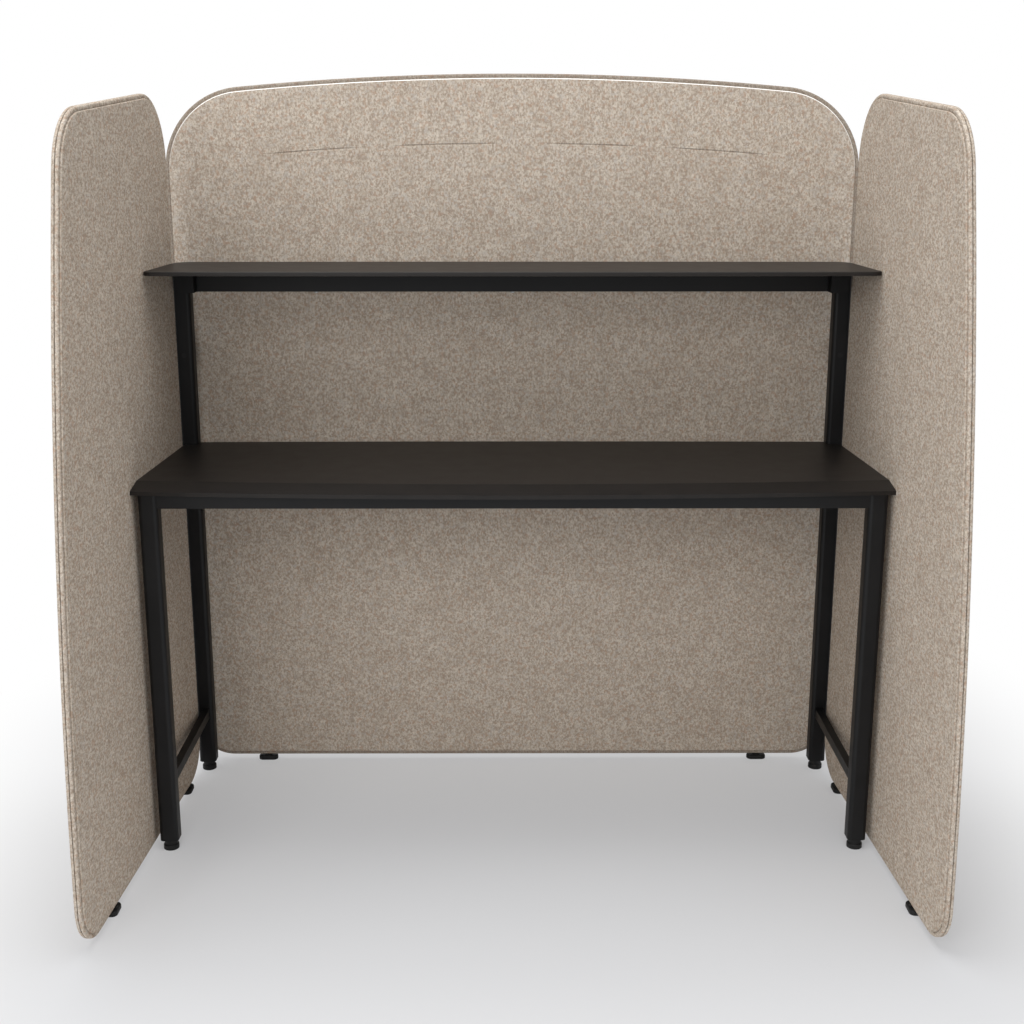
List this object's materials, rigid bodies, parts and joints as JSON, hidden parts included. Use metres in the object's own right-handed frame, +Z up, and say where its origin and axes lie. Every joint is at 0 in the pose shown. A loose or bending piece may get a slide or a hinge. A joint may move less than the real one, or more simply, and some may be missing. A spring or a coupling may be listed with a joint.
{
  "type": "office booth",
  "caption": "Open-fronted office booth: a steel-framed desk with a raised rear shelf, enclosed behind and at both sides by felt-covered screens on levelling feet.",
  "frame": {"origin": "middle of the booth's footprint, on the floor", "axes": "+X to the right as seen from the open front, +Y to the back screen, +Z up"},
  "size_m": [1.4832, 0.8471, 1.4827],
  "materials": {
    "felt": "melange felt, matt",
    "core_board": "raw board",
    "dark_laminate": "satin",
    "black_paint": "powder coat",
    "black_plastic": "moulded",
    "zinc_steel": "zinc plated"
  },
  "bodies": {
    "booth": {"access_caps": "black_plastic", "back_screen_brackets": "black_paint", "back_screen_core": "core_board", "back_screen_inner_felt": "felt", "back_screen_outer_felt": "felt", "bracket_screws": "zinc_steel", "front_leg_left": "black_paint", "front_leg_right": "black_paint", "front_rail": "black_paint", "left_screen_core": "core_board", "left_screen_inner_felt": "felt", "left_screen_outer_felt": "felt", "leg_plugs": "zinc_steel", "lower_side_rail_left": "black_paint", "lower_side_rail_right": "black_paint", "rear_rail": "black_paint", "rear_upright_left": "black_paint", "rear_upright_right": "black_paint", "right_screen_core": "core_board", "right_screen_inner_felt": "felt", "right_screen_outer_felt": "felt", "screen_foot_inserts": "zinc_steel", "shelf": "dark_laminate", "shelf_corner_block_left": "black_plastic", "shelf_corner_block_right": "black_plastic", "shelf_rail": "black_paint", "shelf_screws": "zinc_steel", "side_screen_brackets": "black_paint", "top_side_rail_left": "black_paint", "top_side_rail_right": "black_paint", "worktop": "dark_laminate", "worktop_screws": "zinc_steel"},
    "glide_front_left": {"glide_pad_front_left": "black_plastic", "glide_stud_front_left": "zinc_steel"},
    "glide_front_right": {"glide_pad_front_right": "black_plastic", "glide_stud_front_right": "zinc_steel"},
    "glide_rear_left": {"glide_pad_rear_left": "black_plastic", "glide_stud_rear_left": "zinc_steel"},
    "glide_rear_right": {"glide_pad_rear_right": "black_plastic", "glide_stud_rear_right": "zinc_steel"},
    "screen_foot_back_left": {"screen_foot_pad_back_left": "black_plastic", "screen_foot_stud_back_left": "zinc_steel"},
    "screen_foot_back_right": {"screen_foot_pad_back_right": "black_plastic", "screen_foot_stud_back_right": "zinc_steel"},
    "screen_foot_left_front": {"screen_foot_pad_left_front": "black_plastic", "screen_foot_stud_left_front": "zinc_steel"},
    "screen_foot_left_rear": {"screen_foot_pad_left_rear": "black_plastic", "screen_foot_stud_left_rear": "zinc_steel"},
    "screen_foot_right_front": {"screen_foot_pad_right_front": "black_plastic", "screen_foot_stud_right_front": "zinc_steel"},
    "screen_foot_right_rear": {"screen_foot_pad_right_rear": "black_plastic", "screen_foot_stud_right_rear": "zinc_steel"}
  },
  "joints": [
    {"name": "glide_front_left_height", "type": "slide", "parent": "booth", "child": "glide_front_left", "axis": [0, 0, -1], "range_m": [0, 0.01]},
    {"name": "glide_front_right_height", "type": "slide", "parent": "booth", "child": "glide_front_right", "axis": [0, 0, -1], "range_m": [0, 0.01]},
    {"name": "glide_rear_left_height", "type": "slide", "parent": "booth", "child": "glide_rear_left", "axis": [0, 0, -1], "range_m": [0, 0.01]},
    {"name": "glide_rear_right_height", "type": "slide", "parent": "booth", "child": "glide_rear_right", "axis": [0, 0, -1], "range_m": [0, 0.01]},
    {"name": "screen_foot_back_left_height", "type": "slide", "parent": "booth", "child": "screen_foot_back_left", "axis": [0, 0, -1], "range_m": [0, 0.01]},
    {"name": "screen_foot_back_right_height", "type": "slide", "parent": "booth", "child": "screen_foot_back_right", "axis": [0, 0, -1], "range_m": [0, 0.01]},
    {"name": "screen_foot_left_front_height", "type": "slide", "parent": "booth", "child": "screen_foot_left_front", "axis": [0, 0, -1], "range_m": [0, 0.01]},
    {"name": "screen_foot_left_rear_height", "type": "slide", "parent": "booth", "child": "screen_foot_left_rear", "axis": [0, 0, -1], "range_m": [0, 0.01]},
    {"name": "screen_foot_right_front_height", "type": "slide", "parent": "booth", "child": "screen_foot_right_front", "axis": [0, 0, -1], "range_m": [0, 0.01]},
    {"name": "screen_foot_right_rear_height", "type": "slide", "parent": "booth", "child": "screen_foot_right_rear", "axis": [0, 0, -1], "range_m": [0, 0.01]}
  ]
}
